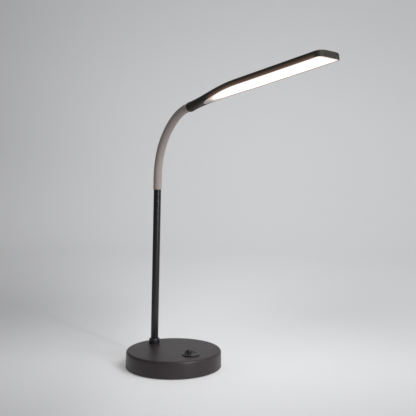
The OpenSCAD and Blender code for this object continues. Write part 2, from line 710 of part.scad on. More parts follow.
// The rocker is a ball about its pivot, cut flat below and dished above, so it tips without touching.
// A rounded nub on its raised end gives the finger a hold, and stays within the same ball.
module switch_rocker() color([0.08, 0.08, 0.09])
    translate([switch_x, 0, pivot_z]) rotate([0, rocker_travel / 2, 0]) union() {
        difference() {
            intersection() {
                sphere(r = rocker_r);
                cube([2 * rocker_r + 2, 2 * rocker_r + 2, 2 * rocker_depth], center = true);
            }
            translate([0, 0, rocker_dish_r + rocker_dish_rise]) rotate([90, 0, 0])
                cylinder(r = rocker_dish_r, h = 2 * rocker_r + 2, center = true, $fn = 180);
        }
        rotate([90, 0, 0]) cylinder(r = trunnion_r, h = 2 * trunnion_end, center = true);
        translate([rocker_nub_x, 0, rocker_nub_z]) sphere(r = rocker_nub_r);
    }

// ---- Assembly ---------------------------------------------------------------

base_cover();
ballast_plate();
bottom_plate();
foot_pad();
base_screws();
cable_bush();
terminal_block();
driver_board();
driver_parts();
base_leads();
pole();
pole_collar();
pole_washer();
pole_nut();
pole_lead();
core_foot();
sleeve_foot();
switch_housing();
switch_contacts();
switch_rocker();
for (k = [0 : link_count - 1]) {
    core_link(k);
    sleeve_link(k);
    lead_link(k);
}
core_top();
sleeve_top();
head_lead();
head_shell();
heat_spreader();
light_board();
light_chips();
board_screws();
diffuser();
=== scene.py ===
# %% [markdown]
# # Dressing a gooseneck desk lamp
# The lamp's solid parts already exist and can't be moved here: a weighted base, an upright tube, a
# neck of ball and socket links, and a slim head. This lesson gives the parts that are seen smooth
# surfaces and real finishes, then sets up a plain studio. Everything is in metres, in the solids'
# own frame: the origin is the middle of the foot, +X points to the head's tip and +Z is up.

# %% Load the solid parts
import json
import bpy
import numpy as np
from mathutils import Matrix


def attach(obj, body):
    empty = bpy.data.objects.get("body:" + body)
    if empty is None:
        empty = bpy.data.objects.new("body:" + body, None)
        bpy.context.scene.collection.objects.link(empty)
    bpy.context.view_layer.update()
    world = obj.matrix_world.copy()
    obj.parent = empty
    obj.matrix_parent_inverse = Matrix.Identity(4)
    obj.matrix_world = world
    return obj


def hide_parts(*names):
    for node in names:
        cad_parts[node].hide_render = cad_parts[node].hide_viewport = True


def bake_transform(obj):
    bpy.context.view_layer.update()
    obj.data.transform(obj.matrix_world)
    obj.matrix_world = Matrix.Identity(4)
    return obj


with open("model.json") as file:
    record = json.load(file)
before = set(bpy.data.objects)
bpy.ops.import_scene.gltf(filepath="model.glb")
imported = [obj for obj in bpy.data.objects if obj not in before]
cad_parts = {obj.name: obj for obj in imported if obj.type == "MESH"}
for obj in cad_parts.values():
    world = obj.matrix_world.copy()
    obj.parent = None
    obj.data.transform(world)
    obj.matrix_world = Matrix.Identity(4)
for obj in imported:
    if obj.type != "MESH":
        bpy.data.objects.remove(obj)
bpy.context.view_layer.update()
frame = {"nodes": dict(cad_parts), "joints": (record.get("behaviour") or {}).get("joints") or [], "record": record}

mm = 0.001
up, sideways = np.array([0, 0, 1.0]), np.array([0, 1.0, 0])
joint_at = {j["name"]: np.array(j["pos_m"]) for j in frame["joints"]}

# %% [markdown]
# ## One way to make every surface
# Nearly every part of this lamp is a closed outline carried along a path: a circle round the base's
# axis, a circle along the neck, a rounded slot shape along the head. So one helper is enough. It
# takes a table of rings, joins each ring to the next with four-sided faces, and closes both ends
# with a fan. Modelling each part by hand would work too, but a formula is exact and easy to change.

# %% Skin over rings
SMOOTH_UNTIL = np.radians(32)


def faces_of(rows, columns, loop):
    """Four-sided faces between neighbouring rings of a grid that closes round each ring.
    With loop the last ring also joins the first."""
    i = np.arange(rows if loop else rows - 1)[:, None]
    j = np.arange(columns)[None, :]
    above, across = (i + 1) % rows, (j + 1) % columns
    corners = np.broadcast_arrays(i * columns + j, i * columns + across,
                                  above * columns + across, above * columns + j)
    return np.stack(corners, -1).reshape(-1, 4)


def mesh_object(name, points, quads, triangles):
    """A mesh object at the origin from arrays of points, four-sided and three-sided faces.
    The volume, a sum of triple products over the faces, is negative when they point inwards, and
    then they are turned round."""
    halves = np.concatenate([quads[:, [0, 1, 2]], quads[:, [0, 2, 3]], triangles])
    a, b, c = (points[halves[:, k]] for k in range(3))
    if np.einsum("ij,ij->i", a, np.cross(b, c)).sum() < 0:
        quads, triangles = quads[:, ::-1], triangles[:, ::-1]
    mesh = bpy.data.meshes.new(name)
    mesh.from_pydata(points.tolist(), [], quads.tolist() + triangles.tolist())
    mesh.polygons.foreach_set("use_smooth", np.ones(len(mesh.polygons), bool))
    mesh.set_sharp_from_angle(angle=SMOOTH_UNTIL)
    piece = bpy.data.objects.new(name, mesh)
    bpy.context.scene.collection.objects.link(piece)
    print(name, len(points), "points")
    return piece


def skin(name, rings, loop=False):
    """A closed surface over rings, an array of ring, point on the ring and coordinate.
    Without loop, a fan round each end ring's mean point closes the surface."""
    rows, columns = rings.shape[:2]
    points = rings.reshape(-1, 3)
    triangles = np.zeros((0, 3), int)
    if not loop:
        points = np.concatenate([points, rings[0].mean(0)[None], rings[-1].mean(0)[None]])
        j = np.arange(columns)
        k = (j + 1) % columns
        hub, last = rows * columns, (rows - 1) * columns
        triangles = np.concatenate([np.stack([k, j, np.full(columns, hub)], 1),
                                    np.stack([last + j, last + k, np.full(columns, hub + 1)], 1)])
    return mesh_object(name, points, faces_of(rows, columns, loop), triangles)


# %% Profiles with rounded corners, turned about an upright axis
AXIS_CLEAR = 0.02


def rounded(corners, steps=8):
    """A line through corners, each given as distance from the axis, height and corner radius in
    millimetres. A radius becomes an arc that touches both sides: its centre lies on the corner's
    bisector, and its ends lie radius times the tangent of half the turn from the corner."""
    corners = np.array(corners, float)
    line = []
    for before, here, after in zip(np.roll(corners, 1, 0), corners, np.roll(corners, -1, 0)):
        p, r = here[:2], here[2]
        if r == 0:
            line.append(p[None])
            continue
        u, v = before[:2] - p, after[:2] - p
        u, v = u / np.hypot(*u), v / np.hypot(*v)
        half = np.arccos(np.clip(u @ v, -1, 1)) / 2
        middle = p + (u + v) / np.hypot(*(u + v)) * r / np.sin(half)
        start, end = p + u * r / np.tan(half) - middle, p + v * r / np.tan(half) - middle
        turn = np.pi - 2 * half
        t = np.linspace(0, 1, steps + 1)[:, None]
        line.append(middle + (start * np.sin((1 - t) * turn) + end * np.sin(t * turn)) / np.sin(turn))
    return np.concatenate(line)


def turned(name, corners, centre=(0, 0, 0), loop=False, segments=128, steps=8):
    """A profile turned about the upright axis through centre: every profile point runs round a
    circle whose radius is its distance from the axis, and at least a hair's breadth, so that the
    points of a ring never fall together."""
    line = rounded(corners, steps)
    a = np.linspace(0, 2 * np.pi, segments, endpoint=False)
    r, z = np.maximum(line[:, :1], AXIS_CLEAR), line[:, 1:]
    rings = np.stack([r * np.cos(a), r * np.sin(a), np.broadcast_to(z, (len(line), segments))], -1)
    return skin(name, (rings + np.array(centre)) * mm, loop)


# %% [markdown]
# ## Shader maths as ordinary expressions
# A finish is a small calculation for each point of a surface. Writing it as Python expressions is
# easier to read than wiring nodes one by one, so a tiny class wraps a node's output and turns +, -,
# * and the rest into Math nodes. One method makes every other kind of node. A finish has the name of
# the record's slot that it fills, and a dictionary keeps it under that name.

# %% The wrapper
class Field:
    """A value that changes over a surface. Arithmetic on it adds Math nodes to its material."""

    def __init__(self, socket):
        self.socket = socket

    def node(self, kind, settings=(), values=(), output=0):
        """Adds one node. settings are set before values, which are numbers, colours or Fields."""
        return add_node(self.socket.id_data, kind, settings, values, output)

    def math(self, operation, *values):
        return self.node("ShaderNodeMath", {"operation": operation}, dict(enumerate(values)))

    def __add__(self, other): return self.math("ADD", self, other)
    def __radd__(self, other): return self.math("ADD", other, self)
    def __sub__(self, other): return self.math("SUBTRACT", self, other)
    def __rsub__(self, other): return self.math("SUBTRACT", other, self)
    def __mul__(self, other): return self.math("MULTIPLY", self, other)
    def __rmul__(self, other): return self.math("MULTIPLY", other, self)
    def __pow__(self, other): return self.math("POWER", self, other)
    def __abs__(self): return self.math("ABSOLUTE", self)

    def between(self, low, high):
        """0 below low, 1 above high and a soft step between them."""
        return self.node("ShaderNodeMapRange", {"interpolation_type": "SMOOTHSTEP"},
                         {"Value": self, "From Min": low, "From Max": high})

    def blend(self, first, second):
        """The colour first where this is 0, second where it is 1."""
        return self.node("ShaderNodeMix", {"data_type": "RGBA"}, {0: self, 6: first, 7: second}, 2)

    def along(self, direction, start=(0, 0, 0)):
        """Distance of this place from start, measured along direction."""
        moved = self.node("ShaderNodeVectorMath", {"operation": "SUBTRACT"}, {0: self, 1: tuple(start)})
        return self.node("ShaderNodeVectorMath", {"operation": "DOT_PRODUCT"},
                         {0: moved, 1: tuple(direction)}, "Value")

    def noise(self, grain, detail=2.0, roughness=0.5):
        """Cloudy noise at this place, from 0 to 1, with patches about grain across."""
        return self.node("ShaderNodeTexNoise", {}, {"Vector": self, "Scale": 1 / grain,
                                                    "Detail": detail, "Roughness": roughness})


def add_node(tree, kind, settings=(), values=(), output=0):
    """Adds a node to a tree and returns one of its outputs as a Field."""
    made = tree.nodes.new(kind)
    for key, value in dict(settings).items():
        setattr(made, key, value)
    for key, value in dict(values).items():
        if isinstance(value, Field):
            tree.links.new(value.socket, made.inputs[key])
        elif isinstance(value, tuple) and len(value) == 3 and made.inputs[key].type == "RGBA":
            made.inputs[key].default_value = (*value, 1)
        else:
            made.inputs[key].default_value = value
    return Field(made.outputs[output])


finishes = {}


def finish(name, surface, bump=None, **even):
    """A material on the Principled shader. even sets sockets that are the same everywhere, with _
    for a space; surface and bump are functions of the place. surface returns a dictionary of
    sockets, and bump a height field with its depth in metres."""
    material = finishes[name] = bpy.data.materials.new(name + "_finish")
    material.use_nodes = True
    tree = material.node_tree
    shader = next(n for n in tree.nodes if n.type == "BSDF_PRINCIPLED")
    place = add_node(tree, "ShaderNodeTexCoord", output="Object")
    for key, value in even.items():
        socket = shader.inputs[key.replace("_", " ")]
        socket.default_value = (*value, 1) if socket.type == "RGBA" else value
    for key, value in surface(place).items():
        tree.links.new(value.socket, shader.inputs[key])
    if bump:
        height, depth = bump(place)
        normal = add_node(tree, "ShaderNodeBump", {}, {"Height": height, "Distance": depth})
        tree.links.new(normal.socket, shader.inputs["Normal"])
    print("finish", name)


def dress(piece, body, slot, *nodes):
    """Gives a new piece the finish of its slot and the body that it moves with, and hides the solid
    nodes it stands for. A piece without a body is left without one here."""
    piece.data.materials.append(finishes[slot])
    if body:
        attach(piece, body)
    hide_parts(*nodes)


# %% [markdown]
# ## Moulded plastic
# The base's cover and the head are moulded in a mould with a fine spark-eroded grain. Up close that
# grain is a bed of dots a quarter of a millimetre across; from further off it only softens the
# reflections. So each plastic gets a fine bump, a slow drift in gloss from handling, and a slight
# drift in colour. Only the colours and the depth differ, so one function makes them all.

# %% Plastics
def moulded(name, colour, gloss, grain=0.28 * mm, depth=0.012 * mm, drift=0.12, handled=0.05,
            glow=None, **even):
    """A grained plastic: colour drifts by the share drift over patches of 30 mm, and the roughness
    is gloss plus or minus handled, by patches of 18 mm mixed with the grain itself. glow, where it
    is given, is a function of the place for a painted glow, emission on a plastic that gives no light."""
    low, high = (tuple(np.array(colour) * (1 + s * drift)) for s in (-1, 1))

    def surface(place):
        patches = place.noise(30 * mm, 3)
        touched = place.noise(18 * mm, 4, 0.6)
        dots = place.noise(grain, 1)
        sockets = {"Base Color": patches.between(0.3, 0.7).blend(low, high),
                   "Roughness": gloss + (touched - 0.5) * (4 * handled) + (dots - 0.5) * 0.06}
        if glow:
            sockets["Emission Color"] = glow(place)
        return sockets

    finish(name, surface, lambda place: (place.noise(grain, 2), depth), **even)


FINE_GRAIN = {"grain": 0.15 * mm, "depth": 0.004 * mm}
moulded("charcoal_plastic", (0.0265, 0.0185, 0.0188), 0.42, handled=0.03, Specular_IOR_Level=0.5)
moulded("black_plastic", (0.018, 0.018, 0.019), 0.5)
moulded("switch_plastic", (0.032, 0.0295, 0.03), 0.28, **FINE_GRAIN, Specular_IOR_Level=0.22)
moulded("rocker_plastic", (0.0105, 0.0098, 0.01), 0.3, **FINE_GRAIN, Specular_IOR_Level=0.32)
moulded("collar_plastic", (0.019, 0.018, 0.0195), 0.3, depth=0.006 * mm)
moulded("bush_plastic", (0.02, 0.02, 0.02), 0.45)
moulded("terminal_plastic", (0.62, 0.61, 0.56), 0.4, depth=0.006 * mm)
moulded("component_plastic", (0.035, 0.035, 0.04), 0.4, depth=0.004 * mm)

# %% [markdown]
# ## Silicone, rubber and jackets
# The neck wears a silicone sleeve. Silicone has no sharp reflection: a matte skin, a little powdery
# at grazing angles, that catches fine dust. The foot is a thin mat of foamed rubber with open pores,
# and the wires wear smooth jackets.

# %% Soft finishes
def soft(name, colour, gloss, grain, depth, dusty, **even):
    """A soft skin: colour lightens by the share dusty in specks and smears, and the roughness
    is gloss plus or minus a little with the smears."""
    pale = tuple(np.array(colour) * (1 + dusty) + 0.01 * dusty)

    def surface(place):
        specks = place.noise(1.4 * mm, 5, 0.7).between(0.45, 0.75)
        smears = place.noise(22 * mm, 3)
        return {"Base Color": (specks * 0.5 + smears * 0.5).blend(colour, pale),
                "Roughness": gloss + (smears - 0.5) * 0.12}

    finish(name, surface, lambda place: (place.noise(grain, 3), depth), **even)


soft("grey_sleeve", (0.4, 0.343, 0.31), 0.62, 0.35 * mm, 0.012 * mm, 0.12,
     Sheen_Weight=0.15, Sheen_Roughness=0.5, Sheen_Tint=(0.8, 0.78, 0.76))
soft("foot_rubber", (0.016, 0.016, 0.017), 0.9, 0.5 * mm, 0.12 * mm, 0.6)
soft("lead_jacket", (0.02, 0.02, 0.022), 0.5, 0.6 * mm, 0.01 * mm, 0.2)
soft("wire_jacket", (0.32, 0.03, 0.028), 0.42, 0.6 * mm, 0.008 * mm, 0.1)

# %% [markdown]
# ## Paint and bare metal
# The tube is steel with a satin black powder coat. Powder melts into a skin with a very shallow
# waviness, like the skin of an orange, about a millimetre across. The steel inside the base is
# plain: turned, rolled or plated, with fine lines and a soft shine.

# %% Metals
ORANGE_PEEL = 1.1 * mm


def powder_coat(place):
    """Black coat with a faint waviness, painted paler towards the base: a painted reflection of the light that the
    tube catches near its foot.
    """
    waves = place.noise(ORANGE_PEEL, 1)
    dulled = place.noise(24 * mm, 3)
    painted_reflection_fade = place.along(up).between(20 * mm, 240 * mm)
    # Painted reflection: the paler pair of colours holds near the foot, the darker pair higher up.
    return {"Base Color": painted_reflection_fade.blend(dulled.blend((0.021, 0.0195, 0.02), (0.025, 0.0235, 0.0242)),
                                      dulled.blend((0.009, 0.0088, 0.0094), (0.012, 0.0118, 0.0126))),
            "Roughness": 0.23 + (dulled - 0.5) * 0.08 + (waves - 0.5) * 0.05}


finish("black_tube", powder_coat, lambda place: (place.noise(ORANGE_PEEL, 1), 0.008 * mm),
       Specular_IOR_Level=0.35, Coat_Weight=0.1, Coat_Roughness=0.15)


def bare_metal(name, colour, gloss, lines=0.15 * mm):
    """Metal whose colour drifts to 0.72 of itself where it is tarnished, with fine lines that
    roughen it."""
    dull = tuple(np.array(colour) * 0.72)

    def surface(place):
        tarnish = place.noise(9 * mm, 4).between(0.35, 0.7)
        fine = place.noise(lines, 2)
        return {"Base Color": tarnish.blend(colour, dull),
                "Roughness": gloss + tarnish * 0.12 + (fine - 0.5) * 0.1}

    finish(name, surface, lambda place: (place.noise(lines, 2), 0.004 * mm), Metallic=1.0)


bare_metal("ballast_steel", (0.34, 0.34, 0.35), 0.42)
bare_metal("screw_steel", (0.56, 0.56, 0.58), 0.3)
bare_metal("core_steel", (0.5, 0.5, 0.52), 0.35)
bare_metal("contact_brass", (0.66, 0.47, 0.2), 0.3)
bare_metal("spreader_aluminium", (0.76, 0.77, 0.79), 0.35)

# %% [markdown]
# ## Boards, chips and the glowing panel
# The driver's board is green solder mask over copper: the tracks show through as a faint paler
# pattern. The light board is white, and its chips carry yellow phosphor. The diffuser is opal
# plastic lit from above, so it glows: brightest over the chips, dimmer and warmer towards its rim,
# and nearly unlit at its narrow end, which no chip reaches. Emission that fades with the place on
# the head does this without any lamp of its own. Where no chip lights the opal from behind, its
# colour is painted darker too, a painted shade. Along the panel the head's dark shell gets a
# painted warm glow at its lower edge, emission on a part that gives no light of its own.

# %% Head frame and lengths, for the panel's glow and later for the head's shape
# The head's lengths are in millimetres, and places along it count from the end of its stem.
HALF_W, STEM_R, STEM_STRAIGHT, FLARE_START, FLARE_END = 18.8, 6.5, 4.0, 13.5, 107.5
HEAD_LEN, TIP_R, PANEL_RISE, PANEL_TOP, RIM_W = 235.0, 7.0, 2.4, 9.7, 1.4
LIP_R, LIP_LEN, SLOT_START, SLOT_ROUND, HAIR = 5.8, 1.5, 29.5, 14.0, 0.05
RISE_END, SQUARE_START, SQUARE_END = 97.5, 7.5, 92.5
UPPER_SQUARE, LOWER_SQUARE = 8.0, 16.0
TIP_X, SLOT_END = HEAD_LEN - TIP_R, HEAD_LEN - RIM_W
HEAD_LEAN, SLEEVE_TOP_LEN = np.radians(81), 8.5 * mm
head_x = np.array([np.sin(HEAD_LEAN), 0, np.cos(HEAD_LEAN)])
head_z = np.array([-np.cos(HEAD_LEAN), 0, np.sin(HEAD_LEAN)])
head_start = joint_at["head_tilt"] + SLEEVE_TOP_LEN * head_x
print("head starts at", head_start.round(4))


# %% Boards and panel finishes
def solder_mask(place):
    """Green mask: the paler lines between cells about 4 mm across are the copper tracks under it."""
    tracks = place.node("ShaderNodeTexVoronoi", {"feature": "DISTANCE_TO_EDGE"},
                        {"Vector": place, "Scale": 260.0}, "Distance").between(0.08, 0.16)
    mottle = place.noise(5 * mm, 2)
    return {"Base Color": tracks.blend((0.02, 0.2, 0.07), (0.012, 0.12, 0.045)),
            "Roughness": 0.3 + mottle * 0.1}


finish("circuit_board", solder_mask, Coat_Weight=0.3)


def white_mask(place):
    """White mask with a faint mottle."""
    mottle = place.noise(6 * mm, 3)
    return {"Base Color": mottle.blend((0.8, 0.8, 0.77), (0.86, 0.86, 0.84)),
            "Roughness": 0.35 + mottle * 0.1}


finish("board_aluminium", white_mask)


def phosphor(place):
    """Yellow grains, whose glow has their own colour."""
    grain = place.noise(0.4 * mm, 3)
    yellow = grain.blend((0.8, 0.62, 0.2), (0.9, 0.74, 0.3))
    return {"Base Color": yellow, "Roughness": 0.4 + grain * 0.2, "Emission Color": yellow}


finish("chip_plastic", phosphor, Emission_Strength=0.6)


def opal_glow(place):
    """Glow against the place in the head. Across the panel it follows the square of a soft step
    from 1.5 to 9 mm inside the slot's edge, and along it the square of a soft step from 40 to
    62 mm, where the chips begin. Before them a little warm light is left, which ends at 37 mm.
    Where no chip lights it from behind, the opal's own colour is painted darker, a painted shade."""
    x = place.along(head_x, head_start)
    y = abs(place.along(sideways))
    widened = x.between(FLARE_START * mm, FLARE_END * mm)
    to_side = (STEM_R * mm + (HALF_W - STEM_R) * mm * widened) - RIM_W * mm - y
    to_tip = SLOT_END * mm - x
    inside = to_side.math("MINIMUM", to_side, to_tip).between(1.5 * mm, 9 * mm) ** 2
    lit = x.between(40 * mm, 62 * mm) ** 2
    warm = x.between(37 * mm, 46 * mm)
    mottle = place.noise(7 * mm, 2)
    edge = inside.blend((0.062, 0.047, 0.041), (1.0, 0.985, 0.955))
    unlit = warm.blend((0.001, 0.0007, 0.0006), (0.03, 0.019, 0.011))
    opal = mottle.blend((0.74, 0.71, 0.68), (0.79, 0.76, 0.72))
    # Painted shade: before the chips the opal gets a darker colour, where no light comes from behind it.
    return {"Base Color": warm.blend(mottle.blend((0.62, 0.56, 0.54), (0.67, 0.61, 0.585)), opal),
            "Roughness": 0.42 + mottle * 0.1,
            "Emission Color": lit.blend(unlit, edge)}


def painted_rim_glow(place):
    """A painted warm glow on the shell's side walls, which give no light of their own: strongest at the lower
    edge, gone 6 mm above it, and only along the lit stretch. The lower edge rises along the stem and the walls
    part as in the head's own curves, and only a wall's outermost millimetre glows."""
    x = place.along(head_x, head_start)
    rise = x.node("ShaderNodeMapRange", {}, {"Value": x, "From Min": STEM_STRAIGHT * mm,
                                             "From Max": RISE_END * mm})
    edge = PANEL_RISE * mm - (1 - rise) ** 2 * ((PANEL_RISE + STEM_R) * mm)
    near = 1 - (place.along(head_z, head_start) - edge).between(0.0, 6 * mm)
    widened = x.between(FLARE_START * mm, FLARE_END * mm) * ((HALF_W - STEM_R) * mm)
    on_wall = (abs(place.along(sideways)) - widened).between((STEM_R - 0.9) * mm, (STEM_R - 0.2) * mm)
    stretch = x.between(36 * mm, 56 * mm) * (1 - x.between(224 * mm, 231 * mm))
    warmth = near.blend((0.035, 0.031, 0.024), (0.105, 0.06, 0.043))
    return (near * on_wall * stretch).blend((0.0, 0.0, 0.0), warmth)


# The head's shell carries a painted warm glow along its lower edge, emission where the shell gives no light.
moulded("head_plastic", (0.038, 0.033, 0.025), 0.5, grain=0.22 * mm, glow=painted_rim_glow,
        Specular_IOR_Level=0.3, Emission_Strength=1.0)
finish("diffuser_plastic", opal_glow, lambda place: (place.noise(0.5 * mm, 2), 0.006 * mm),
       Emission_Strength=9.0)

# %% [markdown]
# ## The base
# The cover is a shallow cup. Its side leans in by half a millimetre so that it leaves its mould, and
# its top edge is rounded to 3 mm, which is the line of light that is seen along the rim. All of it
# is one profile turned about the middle, drawn from the centre of the top out, down the side, round
# the lower rim and back under the ceiling. A seam of 0.02 mm under the collar keeps its face off the
# cover's, since two faces at one height would flicker.

# %% Cover, collar, foot pad
BASE_R, BASE_DRAFT, BASE_TOP, BASE_RIM = 62.5, 0.5, 22.0, 0.8
FLAT_R, INSIDE_R, CEILING, TOP_ROUND = 50.0, 59.8, 19.8, 3.0
base_cover = turned("base_cover_skin", [
    (0, BASE_TOP, 0), (FLAT_R, BASE_TOP, 0), (BASE_R - BASE_DRAFT, BASE_TOP, TOP_ROUND),
    (BASE_R, BASE_RIM, 0.4), (INSIDE_R, BASE_RIM, 0.4), (INSIDE_R, CEILING, 1), (0, CEILING, 0)],
    segments=192, steps=14)
dress(base_cover, "base", "charcoal_plastic", "base_cover")

POLE_R, COLLAR_PLAY, COLLAR_R, COLLAR_TOP, SEAM = 5.0, 0.05, 7.3, 7.0, 0.02
COLLAR_BORE = POLE_R + COLLAR_PLAY
pole_x = joint_at["neck_tilt_1"][0] / mm
collar = turned("pole_collar_skin", [
    (COLLAR_BORE, SEAM, 0), (COLLAR_R, SEAM, 0.2),
    (COLLAR_R, COLLAR_TOP, 2), (COLLAR_BORE, COLLAR_TOP, 0.12)],
    (pole_x, 0, BASE_TOP), loop=True, segments=96)
dress(collar, "base", "collar_plastic", "pole_collar")

PAD_R, PAD_T = 53.8, 1.5
pad = turned("foot_pad_skin", [(0, 0, 0), (PAD_R, 0, 0.5), (PAD_R, PAD_T, 0.2), (0, PAD_T, 0)])
dress(pad, "base", "foot_rubber", "foot_pad")

# %% [markdown]
# ## The upright tube
# A plain tube needs no formula of its own, but its upper end has a small rounded lip where the
# sleeve stands on it, and that lip is what makes the join look like a real one.

# %% Tube
POLE_BORE, POLE_FOOT, POLE_TOP = 4.2, 12.4, 231.0
tube = turned("pole_skin", [
    (POLE_BORE, POLE_FOOT, 0.2), (POLE_R, POLE_FOOT, 0.3),
    (POLE_R, POLE_TOP, 0.35), (POLE_BORE, POLE_TOP, 0.2)],
    (pole_x, 0, 0), loop=True, segments=96, steps=5)
dress(tube, "base", "black_tube", "pole")

# %% [markdown]
# ## The rocker switch
# A round rocker sits in a bezel that stands a little proud of the base. The bezel is one more
# turned profile. The rocker isn't: its top is a shallow dish along one direction only, and its side
# is part of a ball so that it can tip without touching the bezel. The height over the pivot is the
# lower of the dish and the ball, with the meeting edge softened. A smooth minimum does that: it
# takes off a little where the two heights are nearly equal, which is just what a mould's rounded
# edge looks like. The same trick upside down lets a small ball rise out of the dish as the nub that
# a finger finds in the dark.

# %% Bezel and barrel
BEZEL_R, BEZEL_TOP, BEZEL_BORE = 11.5, 1.4, 8.8
BARREL_R, BARREL_END, LEDGE_R, LEDGE = 9.9, -11.0, 8.0, -9.5
pivot = joint_at["rocker_tip"]
bezel = turned("switch_bezel_skin", [
    (BEZEL_BORE, LEDGE, 0), (BEZEL_BORE, BEZEL_TOP, 0.3), (BEZEL_R, BEZEL_TOP, 0.8), (BEZEL_R, SEAM, 0.15),
    (BARREL_R, SEAM, 0), (BARREL_R, BARREL_END, 0.3), (LEDGE_R, BARREL_END, 0), (LEDGE_R, LEDGE, 0)],
    (pivot[0] / mm, 0, BASE_TOP), loop=True, segments=128)
dress(bezel, "base", "switch_plastic", "switch_housing")


# %% Rocker
def smooth_minimum(a, b, width):
    """The lower of a and b, less width over 4 times the squared share by which they are closer
    than width, so the crease between them is rounded off."""
    near = np.clip(1 - np.abs(a - b) / width, 0, 1)
    return np.minimum(a, b) - near ** 2 * width / 4


def rocker_rings(ball=8.5, dish=26.0, rise=1.2, floor=-4.4, tip=np.radians(9), round_off=0.9,
                 nub_x=-4.9, nub_z=1.3, nub_r=3.4, crease=0.5):
    """Rings round the rocker's axis: over the dish from the middle to the edge, then down the ball
    to its floor, and all of it tipped about the pivot's Y axis. A smaller ball with its middle at
    nub_x and nub_z makes the finger's hold."""
    a = np.linspace(0, 2 * np.pi, 128, endpoint=False)
    across = np.sin(np.linspace(0.002, np.pi / 2, 64))[:, None] * ball
    x, y = across * np.cos(a), across * np.sin(a)
    cap = np.sqrt(np.maximum(ball ** 2 - across ** 2, 0)) * np.ones_like(x)
    top = smooth_minimum(dish + rise - np.sqrt(dish ** 2 - x ** 2), cap, round_off)
    nub = nub_z + np.sqrt(np.maximum(nub_r ** 2 - (x - nub_x) ** 2 - y ** 2, 0))
    top = -smooth_minimum(-top, -nub, crease)
    top = np.stack([x, y, top], -1)
    depth = np.linspace(0, floor, 9)[1:, None]
    side = np.sqrt(ball ** 2 - depth ** 2)
    below = np.stack([side * np.cos(a), side * np.sin(a), depth * np.ones_like(side * a)], -1)
    rings = np.concatenate([top, below])
    x, z = rings[..., 0].copy(), rings[..., 2].copy()
    rings[..., 0], rings[..., 2] = x * np.cos(tip) + z * np.sin(tip), z * np.cos(tip) - x * np.sin(tip)
    return rings


rocker = skin("switch_rocker_skin", rocker_rings() * mm + pivot)
dress(rocker, "rocker", "rocker_plastic", "switch_rocker")

# %% [markdown]
# ## The neck's sleeve
# The real sleeve is one tube. The solid neck is a chain of stiff links, and a piece can bend across
# one joint only, so the sleeve is cut in the middle of each link, where the neck is always straight.
# Each stretch runs from one cut to the next along the arc that touches both links there. The arcs
# meet in the same direction, so the cuts don't show, at rest or bent.

# %% Neck stretches
neck_joints = ["neck_tilt_1", "neck_swing_1", "neck_tilt_2", "neck_swing_2", "neck_tilt_3",
               "neck_swing_3", "neck_tilt_4", "neck_swing_4", "head_tilt"]
bends = np.array([joint_at[n] for n in neck_joints])
SLEEVE_R, SLEEVE_FOOT_LEN, INTO_STEM = 5.6 * mm, 6 * mm, 4 * mm
# WALL_CLEAR, a fold's clearance before each cut, isn't used here. A bend of less than
# STRAIGHT, in radians, counts as none.
WALL_CLEAR, TINY, STRAIGHT = 0.9 * mm, 0.001 * mm, 1e-4
# The rounding of the sleeve's foot: heights above it, and how far the skin stands in there.
FOOT_EDGE = ((0, 0.5), (0.25, 0.12), (0.6, 0))
ways = np.concatenate([[up], np.diff(bends, axis=0), [head_x]])
ways /= np.linalg.norm(ways, axis=1)[:, None]
half_link = np.linalg.norm(np.diff(bends, axis=0), axis=1).mean() / 2


def bend_path(corner, before, after, reach_in, reach_out, steps=20):
    """Points and directions from reach_in before the corner to reach_out after it. A circle of the
    radius that touches both straight parts half a link from the corner joins them: its points are
    the touching point turned about the circle's centre by a growing share of the bend."""
    turn = np.arccos(np.clip(before @ after, -1, 1))
    touch = min(half_link, reach_in, reach_out)
    t = np.linspace(0, 1, steps + 1)[:, None]
    if turn < STRAIGHT:
        points = corner - before * reach_in + before * (reach_in + reach_out) * t
        return points, np.broadcast_to(before, points.shape)
    radius = touch / np.tan(turn / 2)
    inward = np.cross(sideways, before)
    start = corner - before * touch
    angle = t * turn
    points = start + before * radius * np.sin(angle) + inward * radius * (1 - np.cos(angle))
    heading = before * np.cos(angle) + inward * np.sin(angle)
    if reach_in > touch + TINY:
        points = np.concatenate([[corner - before * reach_in], points])
        heading = np.concatenate([[before], heading])
    if reach_out > touch + TINY:
        points = np.concatenate([points, [corner + after * reach_out]])
        heading = np.concatenate([heading, [after]])
    return points, heading


def tube_rings(points, heading, radius, segments=64):
    """Circles round a path in the plane Y = 0, with one radius for each point. A circle adds to its
    point the radius times the cosine along the path's normal in that plane and the sine along Y."""
    a = np.linspace(0, 2 * np.pi, segments, endpoint=False)
    across = np.cross(sideways, heading)
    around = across[:, None] * np.cos(a)[:, None] + sideways * np.sin(a)[:, None]
    return points[:, None] + radius[:, None, None] * around


